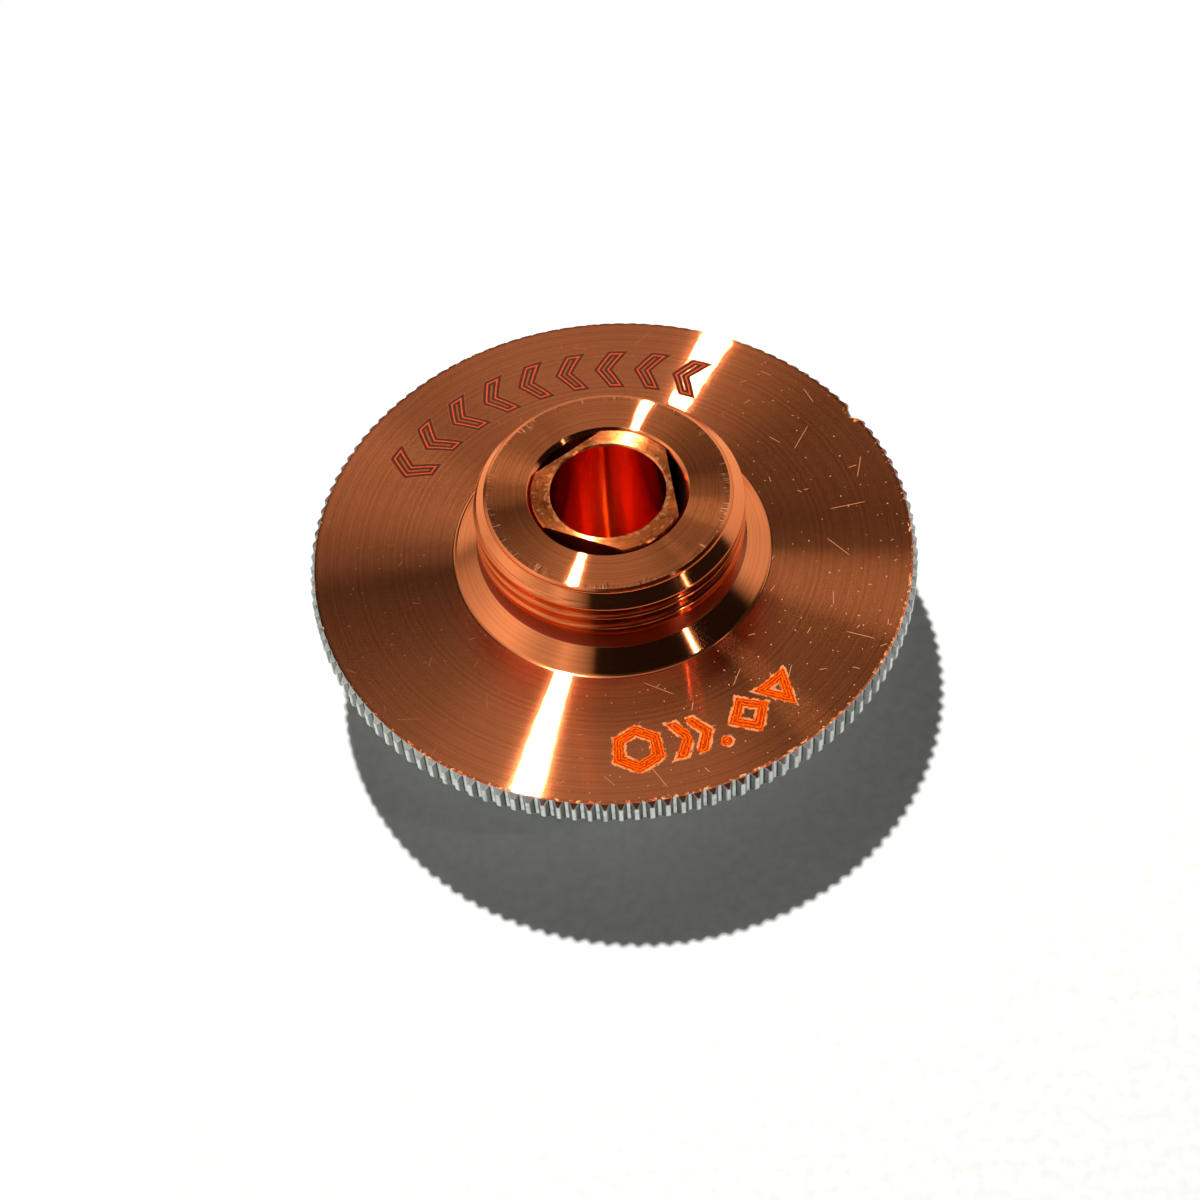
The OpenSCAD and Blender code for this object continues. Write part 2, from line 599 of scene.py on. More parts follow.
@dataclass(frozen=True)
class FlangeFace(TurnedCopper):
    """The flange's turned face, with its marks, scratches, specks and torn edge, painted highlights
    on its engraved lines, lip and burrs, and painted shade behind the lip.
    """

    colour: Colour = linear(236, 136, 85)
    deep: Colour = linear(206, 106, 60)
    engraved: Chevrons = Chevrons(
        angle=107, radius=12.3, height=2.3, count=9, spacing=2.2, stroke=0.48, lean=0.62
    )
    etched: tuple[Any, ...] = (
        PolygonRing(angle=-88.5, radius=12.7, height=2.5, sides=6, spin=30, stroke=0.62),
        Chevrons(angle=-76.0, radius=12.6, height=2.2, count=2, spacing=0.98, stroke=0.56),
        PolygonRing(angle=-69.4, radius=13.55, height=0.62, sides=24, stroke=0.31),
        PolygonRing(angle=-61.8, radius=12.7, height=1.75, sides=4, spin=0, stroke=0.54),
        PolygonRing(angle=-52.2, radius=12.4, height=1.35, sides=3, spin=30, stroke=0.5),
    )
    long_marks: Scratches = Scratches(cell=2.6, length=1.9, width=0.028, share=0.4, offset=3.1)
    short_marks: Scratches = Scratches(cell=1.3, length=0.5, width=0.03, share=0.22, offset=7.7)
    specks: Scratches = Scratches(cell=0.7, length=0.09, width=0.045, share=0.34, offset=5.3)
    least_wear: float = 0.25
    edge_radius: float = 15.75
    lip_width: float = 0.12
    burr_width: float = 0.11
    nick_angle: float = 28.8
    nick_half_angle: float = 0.055
    line: float = 0.05
    hatch_pitch: float = 0.14
    groove_dark: Colour = linear(58, 12, 5)
    # The thin orange line along each engraved groove is a painted highlight
    groove_painted_highlight: Colour = linear(205, 74, 30)
    etch_fill: Colour = linear(242, 92, 6)
    etch_dark: Colour = linear(168, 40, 0)
    etch_edge: Colour = linear(250, 158, 100)
    # The lip colour is a painted highlight along the edge in front, dark is its painted shade
    # behind, and spark is a painted glint on the burr bits
    lip: Colour = linear(250, 128, 70)
    dark: Colour = linear(92, 40, 22)
    burr: Colour = linear(214, 96, 44)
    spark: Colour = linear(255, 190, 120)
    scratch: Colour = linear(225, 140, 100)
    speck: Colour = linear(240, 150, 90)

    def layers(self, sheet: NodeSheet, place: TurnedPlace, look: Look) -> None:
        """Adds the scratches, the torn edge, the engraved outlines and the etched fields.

        Args:
            sheet: The material's nodes.
            place: Where the point lies.
            look: The finish so far, which this changes.
        """
        self._wear(sheet, place, look)
        self._burr(sheet, place, look)
        self._engrave(sheet, place, look)
        self._etch(sheet, place, look)

    def _wear(self, sheet: NodeSheet, place: TurnedPlace, look: Look) -> None:
        """Adds scratches and specks, most of them on the right and in front.

        Args:
            sheet: The material's nodes.
            place: Where the point lies.
            look: The finish so far, which this changes.
        """
        worn = (place.x * 0.8 - place.y * 0.35).fade(-2.0, 9.0)
        worn = worn * (1 - self.least_wear) + self.least_wear
        marks = sheet.math(
            "MAXIMUM", self.long_marks.mask(sheet, place), self.short_marks.mask(sheet, place)
        )
        marks = marks * worn * 0.7
        specks = self.specks.mask(sheet, place) * worn * 0.9
        look.paint(marks, self.scratch)
        look.paint(specks, self.speck)
        look.metallic = 1 - sheet.math("MAXIMUM", marks, specks)

    def _burr(self, sheet: NodeSheet, place: TurnedPlace, look: Look) -> None:
        """Adds the torn lip along the rim, a painted highlight in front and painted shade behind,
        and burr bits with painted glints, heaviest in front and beside the nick.

        Args:
            sheet: The material's nodes.
            place: Where the point lies.
            look: The finish so far, which this changes.
        """
        front = (place.x * 0.5 - place.y).fade(-2.0, 8.0)
        inset = self.edge_radius - place.radius
        lip = inset.fade(self.lip_width, 0.05)
        # Painted highlight along the edge in front, painted shade behind
        look.paint(lip * 0.7, sheet.blend(front, self.dark, self.lip))
        look.slope = look.slope - lip * front * 0.25
        beside = abs(place.angle - math.radians(self.nick_angle))
        beside = beside.fade(self.nick_half_angle, self.nick_half_angle - 0.025)
        torn = sheet.noise(place.point, 3.6, 3.0) + beside * 0.1 + front * 0.09
        inset = inset - beside * 0.3 - front * 0.09
        bits = inset.fade(self.burr_width, 0.03) * torn.fade(0.61, 0.66)
        # A painted glint on some of the burr bits
        painted_highlight = sheet.noise(place.point, 7.0).fade(0.45, 0.6)
        look.paint(bits * 0.9, sheet.blend(painted_highlight, self.burr, self.spark))
        look.metallic = look.metallic * (1 - bits * 0.75)

    def _engrave(self, sheet: NodeSheet, place: TurnedPlace, look: Look) -> None:
        """Adds the outlined arrowheads, each line a dark groove with a painted highlight along it.

        Args:
            sheet: The material's nodes.
            place: Where the point lies.
            look: The finish so far, which this changes.
        """
        edge = abs(self.engraved.distance(sheet, place))
        ragged = edge + (sheet.noise(place.point, 6.0) - 0.5) * 0.04
        burnt = ragged.fade(self.line * 5.0, self.line * 3.4)
        look.paint(burnt * 0.95, self.groove_dark)
        # The thin orange line at the groove's middle is a painted highlight
        look.paint(ragged.fade(self.line * 1.2, self.line * 0.4), self.groove_painted_highlight)
        look.metallic = look.metallic * (1 - burnt * 0.9)
        look.slope = look.slope * (1 - burnt)

    def _etch(self, sheet: NodeSheet, place: TurnedPlace, look: Look) -> None:
        """Adds the hatched fields with their pale melted edges.

        Args:
            sheet: The material's nodes.
            place: Where the point lies.
            look: The finish so far, which this changes.
        """
        near, *gaps = [mark.distance(sheet, place) for mark in self.etched]
        for gap in gaps:
            near = sheet.math("MINIMUM", near, gap)
        ragged = near + (sheet.noise(place.point, 5.0, 3.0) - 0.5) * 0.2
        inside = ragged.fade(0.04, -0.02)
        broken = sheet.noise(place.point, 2.2, 2.0).fade(0.4, 0.55)
        melted = abs(ragged - 0.02).fade(0.08, 0.03) * broken * 0.8
        hatch = sheet.math("SINE", ragged * (math.tau / self.hatch_pitch))
        grain = sheet.noise(place.point, 8.0, 3.0)
        burn = (hatch * 0.32 + grain).fade(0.25, 0.85)
        look.paint(inside, sheet.blend(burn, self.etch_fill, self.etch_dark))
        look.paint(melted, self.etch_edge)
        cover = sheet.math("MAXIMUM", inside, melted)
        look.metallic = look.metallic * (1 - cover)
        look.slope = look.slope * (1 - cover)


@dataclass(frozen=True)
class EndFace(TurnedCopper):
    """The stub's end face, with nicks along its outer edge, painted bright as highlight and dark as
    shade.
    """

    edge_radius: float = 6.245
    around: float = 70.0
    # Painted highlight and painted shade on the nicks
    nick_highlight: Colour = linear(255, 176, 124)
    shade: Colour = linear(90, 36, 18)

    def layers(self, sheet: NodeSheet, place: TurnedPlace, look: Look) -> None:
        """Adds nicks that run in from the edge, painted bright as highlight and dark as shade.

        Args:
            sheet: The material's nodes.
            place: Where the point lies.
            look: The finish so far, which this changes.
        """
        inward = self.edge_radius - place.radius
        turn_x = place.x / place.radius * self.around
        turn_y = place.y / place.radius * self.around
        fine = sheet.combine(turn_x, turn_y, inward * 1.2)
        cut = sheet.noise(fine, 1.0, 3.0)
        reach = sheet.noise(fine, 0.12, 2.0).fade(0.4, 0.75) * 0.5 + 0.04
        zone = (inward - reach).fade(0.1, -0.1)
        painted_highlight = cut.fade(0.52, 0.66) * zone
        dark = cut.fade(0.46, 0.34) * zone
        look.paint(painted_highlight * 0.65, self.nick_highlight)
        look.paint(dark * 0.6, self.shade)
        look.metallic = 1 - painted_highlight * 0.3


@dataclass(frozen=True)
class BurnishedTop(TurnedCopper):
    """The core's top land, burnished, with painted glints in spots, most of them beside the bore,
    and darker stains.
    """

    inner_radius: float = 3.07
    # The spot colour is a painted glint
    spot: Colour = linear(255, 190, 120)
    stain: Colour = linear(120, 50, 24)

    def layers(self, sheet: NodeSheet, place: TurnedPlace, look: Look) -> None:
        """Adds painted glints in spots, most of them beside the bore, and darker stains.

        Args:
            sheet: The material's nodes.
            place: Where the point lies.
            look: The finish so far, which this changes.
        """
        beside = place.radius.fade(self.inner_radius + 0.3, self.inner_radius + 0.02)
        grain = sheet.noise(place.point, 5.0, 4.0)
        blot = sheet.noise(place.point, 1.6, 3.0)
        look.slope = look.slope + (grain - 0.5) * 0.22
        painted_highlight = (grain + beside * 0.12).fade(0.56, 0.7)
        dark = (blot + grain * 0.4).fade(0.68, 0.88)
        look.paint(dark * 0.5, self.stain)
        look.paint(painted_highlight * 0.45, self.spot)
        look.metallic = 1 - painted_highlight * 0.2


@dataclass(frozen=True)
class PaleSkin:
    """The pale plating of the rim."""

    name: str
    colour: Colour = linear(210, 215, 210)
    # The stains' colour, which the knurl's upward facets also take as painted shade
    stain_and_shade: Colour = linear(132, 134, 128)
    metallic: float = 0.8
    roughness: float = 0.36
    grain_height: float = 0.05

    def material(self) -> bpy.types.Material:
        """Builds the material.

        Returns:
            The material.
        """
        made, sheet = new_material(self.name)
        place = TurnedPlace(sheet)
        stain = sheet.noise(place.point, 3.0, 4.0).fade(0.45, 0.8)
        grain = sheet.noise(place.point, 9.0, 3.0)
        bump = sheet.node(
            "ShaderNodeBump",
            None,
            {"Strength": 0.25, "Distance": self.grain_height * MM, "Height": grain},
        )
        tone = sheet.blend(stain * 0.5, self.colour, self.stain_and_shade)
        look = Look(sheet, tone, 0.0, stain * 0.15 + self.roughness, self.metallic)
        self.layers(sheet, place, look)
        shader = sheet.node(
            "ShaderNodeBsdfPrincipled",
            None,
            {
                "Base Color": look.colour,
                "Metallic": look.metallic,
                "Roughness": look.roughness,
                "Normal": bump.outputs[0],
            },
        )
        sheet.surface(shader)
        return made

    def layers(self, sheet: NodeSheet, place: TurnedPlace, look: Look) -> None:
        """Adds what the finish has on top of its stains. A plain skin has nothing."""


@dataclass(frozen=True)
class KnurlSkin(PaleSkin):
    """The skin on the knurl, with painted shade on its flanks, in its creases and on the upward
    facets of its chamfered crests, and copper, painted dark as shade, on the facets behind and on
    the right.
    """

    teeth: int = 130
    pitch: float = 0.773
    crest: float = 0.1
    base: float = 0.306
    chamfer: float = 0.25
    face_z: float = 8.8
    # Painted shade on the flanks and in the creases, and copper facets painted dark as shade
    flank_shade: Colour = linear(92, 92, 86)
    crease_shade: Colour = linear(34, 34, 32)
    bare_in_shade: Colour = linear(112, 54, 32)
    worn: Colour = linear(104, 48, 22)
    worn_angles: tuple[float, float] = (-17.0, 27.0)
    border: float = 0.06

    def layers(self, sheet: NodeSheet, place: TurnedPlace, look: Look) -> None:
        """Adds painted shade on the flanks, in the creases and on the upward facets, and copper
        facets behind and on the right, painted dark brown as shade.

        Args:
            sheet: The material's nodes.
            place: Where the point lies.
            look: The finish so far, which this changes.
        """
        turn = (place.angle + math.pi / 2) / math.tau
        aside = abs(sheet.math("FRACT", turn * self.teeth + 0.5) - 0.5) * self.pitch
        upward = sheet.separate(place.normal)[2].fade(0.3, 0.5)
        flank_shade = aside.fade(self.crest, self.crest + 0.05) * (1 - upward)
        flank_shade = flank_shade * aside.fade(self.base + 0.01, self.base - 0.04)
        # Upward facets, flanks and creases are darkened as painted shade
        look.paint(upward * 0.45, self.stain_and_shade)
        look.paint(flank_shade * 0.75, self.flank_shade)
        look.paint(flank_shade * aside.fade(self.base - 0.07, self.base - 0.03), self.crease_shade)
        # Copper facets behind and on the right, painted dark brown as shade
        look.paint(place.y.fade(0.0, 2.5) * upward, self.bare_in_shade)
        worn = self._facet(aside, (place.z - self.face_z) / self.chamfer + 1) * upward
        degrees = turn * 360
        start, end = self.worn_angles
        spot = degrees.fade(start - 4, start + 2) * degrees.fade(end + 5, end - 3)
        worn = worn * (spot * 0.8 + 0.2)
        look.paint(worn, self.worn)
        look.roughness = look.roughness + worn * 0.2

    def _facet(self, aside: Value, height: Value) -> Value:
        """Gives the inner part of a tooth's chamfered end.

        Args:
            aside: The distance from the middle of the tooth along the rim.
            height: 0 at the chamfer's lower edge and 1 at the flange's face.

        Returns:
            1 well inside the facet and 0 at its border and beyond.
        """
        spread = (self.base - self.crest) * 0.93
        inner = height * spread + (self.crest - self.border) - aside
        return inner.fade(0.0, 0.03) * height.fade(0.02, 0.1) * height.fade(1.0, 0.92)


@dataclass(frozen=True)
class Ring:
    """A closed ring of points in a ring mesh."""

    start: int
    count: int
    radius: np.ndarray
    height: np.ndarray
    angle: np.ndarray


class RingMesh:
    """A closed mesh of rings round the axis, with bands of faces between them."""

    def __init__(self, name: str) -> None:
        """Starts an empty mesh."""
        self.name = name
        self.points: list[np.ndarray] = []
        self.total = 0
        self.faces: list[list[int]] = []
        self.normals: list[Optional[np.ndarray]] = []
        self.finishes: list[int] = []

    def ring(self, radius: Any, height: Any, angle: np.ndarray) -> Ring:
        """Adds a ring of points.

        Args:
            radius: The distance from the axis in millimetres, one number or one a point.
            height: The height in millimetres, one number or one a point.
            angle: The angle of each point in radians, counter-clockwise from +X.

        Returns:
            The ring.
        """
        radius = np.broadcast_to(np.asarray(radius, float), angle.shape)
        height = np.broadcast_to(np.asarray(height, float), angle.shape)
        self.points.append(np.stack([radius * np.cos(angle), radius * np.sin(angle), height], 1))
        made = Ring(self.total, len(angle), radius, height, angle)
        self.total += len(angle)
        return made

    def _corner(self, ring: Ring, index: int, lean: Any) -> Optional[np.ndarray]:
        """Gives the normal at a ring's point.

        Args:
            ring: The ring.
            index: The point's place in it.
            lean: The normal's outward and upward parts, each one number or one a point, or None.

        Returns:
            The normal, or None for a facet.
        """
        if lean is None:
            return None
        outward, upward = lean
        if np.ndim(outward):
            outward, upward = outward[index], upward[index]
        angle = ring.angle[index]
        return np.array([outward * math.cos(angle), outward * math.sin(angle), upward])

    def first(self, angle: np.ndarray) -> Ring:
        """Gives the mesh's first ring again, which closes the mesh."""
        return Ring(0, len(angle), np.zeros(len(angle)), np.zeros(len(angle)), angle)

    def band(self, first: Ring, second: Ring, finish: Any, leans: Any = None) -> None:
        """Joins two rings with faces.

        The second ring follows the first on a path that goes up outside and down inside.
        Where one ring has more points, it has a whole number of times as many.

        Args:
            first: The ring that the path leaves.
            second: The ring that the path comes to.
            finish: The place of the finish, or one for each face round the ring.
            leans: The outward and upward parts of the normal at each ring, or None for facets.
        """
        lean_a, lean_b = leans if leans is not None else (None, None)
        count = min(first.count, second.count)
        ratio = max(first.count, second.count) // count
        for i in range(count):
            k = (i + 1) % count
            if ratio == 1:
                where = [(first, i), (first, k), (second, k), (second, i)]
                self._face(where, [lean_a, lean_a, lean_b, lean_b], finish, i)
                continue
            fine_first = first.count > second.count
            fine, coarse = (first, second) if fine_first else (second, first)
            lean_f, lean_c = (lean_a, lean_b) if fine_first else (lean_b, lean_a)
            half = ratio // 2
            for j in range(ratio):
                a = (i * ratio + j) % fine.count
                b = (i * ratio + j + 1) % fine.count
                where = [(fine, a), (fine, b), (coarse, i if j < half else k)]
                self._face(self._turned(where, fine_first), [lean_f, lean_f, lean_c], finish, i)
            where = [(fine, (i * ratio + half) % fine.count), (coarse, k), (coarse, i)]
            self._face(self._turned(where, fine_first), [lean_f, lean_c, lean_c], finish, i)

    def _turned(self, where: list[tuple[Ring, int]], keep: bool) -> list[tuple[Ring, int]]:
        """Reverses a face's corners unless they are to be kept."""
        return where if keep else where[::-1]

    def _face(self, where: list[tuple[Ring, int]], leans: list[Any], finish: Any, i: int) -> None:
        """Adds a face.

        Args:
            where: The ring and the place in it of each corner.
            leans: The outward and upward parts of each corner's normal, or None.
            finish: The place of the finish, or one for each face round the ring.
            i: The face's place round the ring.
        """
        self.faces.append([ring.start + index for ring, index in where])
        self.finishes.append(int(finish[i] if np.ndim(finish) else finish))
        self.normals.extend(
            self._corner(ring, index, lean) for (ring, index), lean in zip(where, leans)
        )

    def build(self, finishes: list[Any]) -> bpy.types.Object:
        """Makes the Blender object.

        Args:
            finishes: The finishes, in the order that the bands number them.

        Returns:
            The object, in metres.
        """
        points = np.concatenate(self.points) * MM
        mesh = bpy.data.meshes.new(self.name)
        mesh.from_pydata(points.tolist(), [], self.faces)
        for finish in finishes:
            mesh.materials.append(finish.material())
        mesh.polygons.foreach_set("material_index", self.finishes)
        mesh.polygons.foreach_set("use_smooth", [True] * len(self.faces))
        mesh.update()
        flat = np.repeat(
            np.array([face.normal for face in mesh.polygons]),
            [len(face) for face in self.faces],
            axis=0,
        )
        chosen = [flat[i] if n is None else n for i, n in enumerate(self.normals)]
        mesh.normals_split_custom_set([tuple(n) for n in chosen])
        return add_object(self.name, mesh)


@dataclass(frozen=True)
class Corner:
    """A corner of a section, with the radius that rounds it and the finish that follows it."""

    radius: float
    height: float
    rounding: float = 0.0
    finish: int = 0


class Section:
    """The outline of a turned piece in the plane of its axis, walked up outside and down inside."""

    ARC_STEP = math.radians(9)
    SAME_PLACE = 1e-6

    def __init__(self, corners: list[Corner]) -> None:
        """Takes the corners in order. The first and the last aren't rounded."""
        self.corners = corners

    def points(self) -> list[tuple[Point, Point, int]]:
        """Rounds the corners.

        Returns:
            For each stretch end a place, a normal and the finish of the stretch that follows.
            A place comes twice where the surface turns sharply.
        """
        made: list[tuple[Point, Point, int]] = []
        last = len(self.corners) - 1
        for i, corner in enumerate(self.corners):
            here = np.array([corner.radius, corner.height])
            before = self._way(i - 1, i) if i else None
            after = self._way(i, i + 1) if i < last else None
            if before is None or after is None or corner.rounding == 0:
                if before is not None:
                    made.append((tuple(here), self._normal(before), corner.finish))
                if after is not None:
                    made.append((tuple(here), self._normal(after), corner.finish))
                continue
            turn = math.atan2(before[0] * after[1] - before[1] * after[0], float(before @ after))
            reach = corner.rounding * math.tan(abs(turn) / 2)
            start = here - before * reach
            side = 1 if turn > 0 else -1
            centre = start + side * corner.rounding * np.array([-before[1], before[0]])
            steps = max(2, int(abs(turn) / self.ARC_STEP) + 1)
            for k in range(steps + 1):
                bend = turn * k / steps
                spoke = start - centre
                c, s = math.cos(bend), math.sin(bend)
                turned = np.array([[c, -s], [s, c]])
                place = centre + turned @ spoke
                made.append((tuple(place), self._normal(turned @ before), corner.finish))
        return made

    def _way(self, i: int, k: int) -> np.ndarray:
        """Gives the direction from one corner to another.

        Args:
            i: The place of the first corner.
            k: The place of the second.

        Returns:
            The direction, one long.
        """
        a, b = self.corners[i], self.corners[k]
        step = np.array([b.radius - a.radius, b.height - a.height])
        return step / np.linalg.norm(step)

    def _normal(self, way: np.ndarray) -> Point:
        """Gives the outward normal of a stretch from its direction."""
        return float(way[1]), float(-way[0])

    def sweep(self, mesh: RingMesh, angle: np.ndarray, start: Optional[Ring] = None) -> Ring:
        """Turns the section round the axis.

        Args:
            mesh: The mesh that takes the rings.
            angle: The angles of each ring's points.
            start: A ring that stands for the first corner, or None.

        Returns:
            The last ring.
        """
        points = self.points()
        ring, lean = start, points[0][1]
        if ring is None:
            ring = mesh.ring(points[0][0][0], points[0][0][1], angle)
        finish = points[0][2]
        for place, normal, following in points[1:]:
            moved = max(abs(place[0] - ring.radius[0]), abs(place[1] - ring.height[0]))
            if moved >= self.SAME_PLACE:
                new = mesh.ring(place[0], place[1], angle)
                mesh.band(ring, new, finish, (lean, normal))
                ring = new
            lean, finish = normal, following
        return ring


def even_angles(count: int) -> np.ndarray:
    """Gives angles evenly round the axis, from straight in front."""
    return np.arange(count) * (math.tau / count) - math.pi / 2


@dataclass
class Knurl:
    """The straight knurl on the flange's rim."""

    outer_radius: float = 16.0
    teeth: int = 130
    depth: float = 0.27
    crest_width: float = 0.2
    root_width: float = 0.16
    chamfer: float = 0.25
    burr_width: float = 0.035
    crest_spread: tuple[float, float] = (0.75, 1.2)
    uneven_share: float = 0.002
    wobble: float = 0.006
    level_shares: tuple[float, ...] = (0.3, 0.5, 0.7)
    flank_columns: tuple[int, ...] = (2, 3, 9, 10)
    seed: int = 7

    def rings(self, mesh: RingMesh, bottom: float, top: float) -> list[Ring]:
        """Adds the rim's rings from the underside to the face.

        Args:
            mesh: The mesh that takes the rings.
            bottom: The height of the flange's underside.
            top: The height of the flange's face.

        Returns:
            The rings from the bottom up.
        """
        random = np.random.default_rng(self.seed)
        tooth = math.tau / self.teeth
        crest = math.asin(self.crest_width / 2 / self.outer_radius)
        crest = crest * random.uniform(*self.crest_spread, self.teeth)
        shift = random.normal(0, self.uneven_share, self.teeth)
        centre = (np.arange(self.teeth) + shift) * tooth - math.pi / 2
        low, high = bottom + self.chamfer, top - self.chamfer
        levels = [(bottom, 1.0), (low, 0.0)]
        levels += [(low + (high - low) * share, 0.0) for share in self.level_shares]
        levels += [(high, 0.0), (top, 1.0)]
        return [self._ring(mesh, level, crest, centre, random) for level in levels]

    def _ring(
        self, mesh: RingMesh, level: Point, crest: np.ndarray, centre: np.ndarray, random: Any
    ) -> Ring:
        """Adds one ring of the toothed rim.

        Args:
            mesh: The mesh that takes the ring.
            level: The height, and the share of the chamfer's depth that is cut there.
            crest: Half the angle of each tooth's crest.
            centre: The angle of each tooth's middle.
            random: The source of the flanks' unevenness.

        Returns:
            The ring.
        """
        height, cut = level
        tooth = math.tau / self.teeth
        root_radius = self.outer_radius - self.depth
        limit = self.outer_radius - self.chamfer * cut
        base = tooth / 2 - math.asin(self.root_width / 2 / root_radius)
        top = crest + (base - crest) * (self.outer_radius - limit) / self.depth
        burr = np.minimum(top + self.burr_width / self.outer_radius, base * 0.98 + top * 0.02)
        side = [top * 0.5, top, burr, (burr + base) / 2, np.full(self.teeth, base)]
        groove = [np.full(self.teeth, -tooth / 2)]
        offsets = groove + [-s for s in side[::-1]] + [np.zeros(self.teeth)] + side
        offsets = np.stack(offsets, 1)
        past_crest = (np.abs(offsets) - crest[:, None]) / (base - crest[:, None])
        radius = np.clip(self.outer_radius - past_crest * self.depth, root_radius, limit)
        wobble = random.normal(0, self.wobble, radius.shape)
        columns = list(self.flank_columns)
        radius[:, columns] += wobble[:, columns]
        angle = centre[:, None] + offsets
        return mesh.ring(radius.ravel(), height, angle.ravel())


@dataclass
class Thread:
    """The fine right-hand thread on the stub."""

    radius: float = 7.0
    pitch: float = 0.85
    depth: float = 0.22
    root_width: float = 0.1
    groove_width: float = 0.4
    front_groove: float = 3.4
    spacing: float = 0.034

    def depth_at(self, height: np.ndarray, angle: np.ndarray) -> np.ndarray:
        """Works out how deep the groove is.

        Args:
            height: The height above the flange's face.
            angle: The angle, counter-clockwise from +X.

        Returns:
            The depth below the crests, with the height's shape.
        """
        turn = (height - self.front_groove) / self.pitch - (angle + math.pi / 2) / math.tau
        aside = np.abs(turn - np.round(turn)) * self.pitch
        inner, outer = self.root_width / 2, self.groove_width / 2
        share = np.clip((outer - aside) / (outer - inner), 0, 1)
        return self.depth * share * share * (3 - 2 * share)


@dataclass
class NozzleBody:
    """The outer body: nose, knurled flange, seat cone and threaded stub, in one piece."""

    flange_z: float = 7.3
    face_z: float = 8.8
    nose_radius: float = 10.0
    nose_blend: float = 1.2
    tip_radius: float = 3.0
    tip_chamfer: float = 0.2
    seat_radius: float = 8.3
    seat_top_radius: float = 7.1
    seat_height: float = 0.85
    seat_blend: float = 0.4
    relief_radius: float = 6.2
    relief_height: float = 0.8
    end_radius: float = 6.245
    hole_radius: float = 3.98
    hole_chamfer: float = 0.2
    ledge_z: float = 4.6
    chamber_radius: float = 3.7
    orifice_radius: float = 1.25
    orifice_length: float = 1.2
    tip_edge: float = 0.04
    seat_edge: float = 0.05
    relief_edge: float = 0.1
    chamber_edge: float = 0.1
    fine_edge: float = 0.03
    least_edge: float = 0.02
    lead_depth: float = 0.3
    lead_slope: float = 1.2
    foot_depth: float = 0.35
    root_margin: float = 0.2
    segments: int = 390
    face_ring: float = 15.1
    nick_angle: float = 28.8
    nick_reach: float = 0.42
    nick_rings: int = 3
    nick_depth: float = 0.32
    nick_drop: float = 0.1
    knurl: Knurl = field(default_factory=Knurl)
    thread: Thread = field(default_factory=Thread)

    FACE, CONE, RELIEF, THREAD, END, INSIDE, NOSE, KNURL, TIP = range(9)

    def finishes(self) -> list[Any]:
        """Gives the finishes in the order of the numbers above."""
        return [
            FlangeFace("flange_face", edge_radius=self.knurl.outer_radius - self.knurl.chamfer,
                       nick_angle=self.nick_angle),
            TurnedCopper("seat_cone", tilt=0.006, waviness=0.004, rings=0.1, roughness=0.11,
                         anisotropic=0.9),
            TurnedCopper("relief_groove", lay=Lay.ALONG, tilt=0.06, roughness=0.24,
                         colour=linear(222, 142, 100), deep=linear(186, 104, 66)),
            TurnedCopper("thread_flank", lay=Lay.ALONG, colour=linear(222, 118, 66),
                         deep=linear(176, 84, 44), tilt=0.012, waviness=0.006,
                         roughness=0.11, anisotropic=0.8),
            EndFace("end_face", edge_radius=self.end_radius),
            DimWall("body_inside"),
            TurnedCopper("nose_skin", colour=linear(204, 208, 206), deep=linear(150, 154, 152),
                         tilt=0.05, rings=0.3, fine=0.5, roughness=0.15, edge_tint=(1.0, 1.0, 1.0)),
            KnurlSkin("knurl_skin", teeth=self.knurl.teeth, chamfer=self.knurl.chamfer,
                      face_z=self.face_z),
            TurnedCopper("tip_face", roughness=0.12),
        ]

    def build(self) -> bpy.types.Object:
        """Builds the body as one closed mesh with its finishes.

        Returns:
            The body.
        """
        mesh = RingMesh("outer_body_turned")
        angle = even_angles(self.segments)
        nose = self._nose().sweep(mesh, angle)
        last = self._rim(mesh, nose, angle)
        last = self._seat().sweep(mesh, angle, last)
        last = self._stub(mesh, last, angle)
        last = self._inside().sweep(mesh, angle, last)
        mesh.band(last, mesh.first(angle), self.INSIDE)
        made = mesh.build(self.finishes())
        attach(made, BODY)
        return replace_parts(made, "outer_body")

    def _nose(self) -> Section:
        """Draws the outline from the orifice's edge over the nose to the flange's underside.

        Returns:
            The section.
        """
        lean = (self.nose_radius - self.tip_radius) / self.flange_z
        return Section([
            Corner(self.orifice_radius, 0, 0, self.TIP),
            Corner(self.tip_radius - self.tip_chamfer, 0, self.tip_edge, self.TIP),
            Corner(self.tip_radius + self.tip_chamfer * lean, self.tip_chamfer, self.tip_edge,
                   self.NOSE),
            Corner(self.nose_radius, self.flange_z, self.nose_blend, self.NOSE),
            Corner(self.face_ring, self.flange_z, 0, self.NOSE),
        ])

    def _rim(self, mesh: RingMesh, start: Ring, angle: np.ndarray) -> Ring:
        """Adds the underside's edge, the knurled rim and the flange face's outer ring.

        Args:
            mesh: The mesh that takes them.
            start: The last ring of the underside.
            angle: The angles of the face's points.

        Returns:
            The ring on the flange's face.
        """
        rings = self.knurl.rings(mesh, self.flange_z, self.face_z)
        self._nick(mesh)
        down, up = ((0.0, -1.0),) * 2, ((0.0, 1.0),) * 2
        mesh.band(start, rings[0], self.NOSE, down)
        for low, high in zip(rings, rings[1:]):
            mesh.band(low, high, self.KNURL)
        face = mesh.ring(self.face_ring, self.face_z, angle)
        mesh.band(rings[-1], face, self.FACE, up)
        return face

